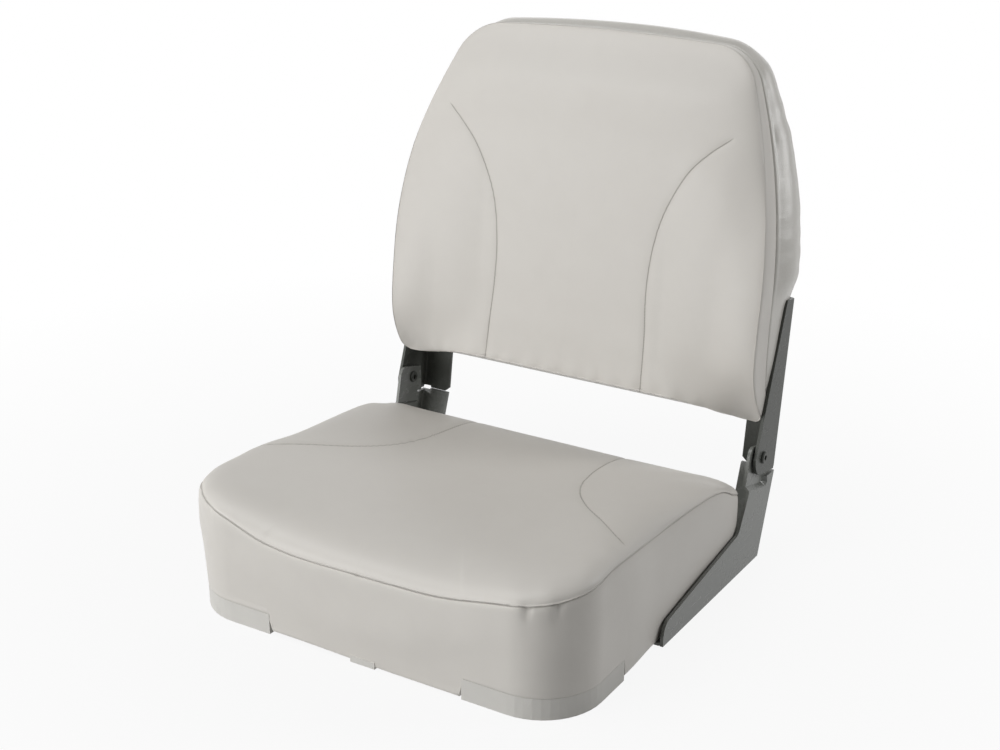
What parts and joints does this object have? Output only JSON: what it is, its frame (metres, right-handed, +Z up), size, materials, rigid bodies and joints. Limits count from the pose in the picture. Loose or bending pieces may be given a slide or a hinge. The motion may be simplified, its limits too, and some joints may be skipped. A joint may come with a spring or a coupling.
{
  "type": "folding boat seat",
  "caption": "Padded boat seat on a ribbed moulded pan, with a padded backrest that folds forward on two pressed sheet-metal side hinges.",
  "frame": {"origin": "centre of the four threaded inserts under the seat pan, on the plane that the seat stands on", "axes": "+Z up, the seat's front towards -Y, +X to the sitter's left"},
  "size_m": [0.4214, 0.4611, 0.4847],
  "materials": {
    "smooth_vinyl": "smooth marine vinyl with a satin sheen",
    "grained_vinyl": "finely grained vinyl",
    "foam": "open-cell foam",
    "moulded_plastic": "moulded, lightly textured",
    "painted_steel": "satin grey coating on pressed sheet",
    "zinc": "zinc-plated steel",
    "nylon": "natural nylon",
    "brass": "turned, bright"
  },
  "bodies": {
    "seat": {"seat_pan": "moulded_plastic", "seat_foam": "foam", "seat_cover": "smooth_vinyl", "pan_insert_front_left": "brass", "pan_insert_front_right": "brass", "pan_insert_rear_left": "brass", "pan_insert_rear_right": "brass", "lower_bracket_left": "painted_steel", "lower_bracket_right": "painted_steel", "pan_screw_left_1": "zinc", "pan_screw_left_2": "zinc", "pan_screw_left_3": "zinc", "pan_screw_right_1": "zinc", "pan_screw_right_2": "zinc", "pan_screw_right_3": "zinc", "pivot_rivet_left": "zinc", "pivot_rivet_right": "zinc", "pivot_bush_left": "nylon", "pivot_bush_right": "nylon"},
    "backrest": {"upper_bracket_left": "painted_steel", "upper_bracket_right": "painted_steel", "back_screw_left_1": "zinc", "back_screw_left_2": "zinc", "back_screw_left_3": "zinc", "back_screw_right_1": "zinc", "back_screw_right_2": "zinc", "back_screw_right_3": "zinc", "backrest_shell": "moulded_plastic", "backrest_foam": "foam", "backrest_front_cover": "smooth_vinyl", "backrest_rear_cover": "grained_vinyl"}
  },
  "joints": [
    {"name": "backrest_fold", "type": "hinge", "parent": "seat", "child": "backrest", "pos_m": [0, 0.19976, 0.10519], "axis": [1, 0, 0], "range_deg": [0, 75]}
  ]
}
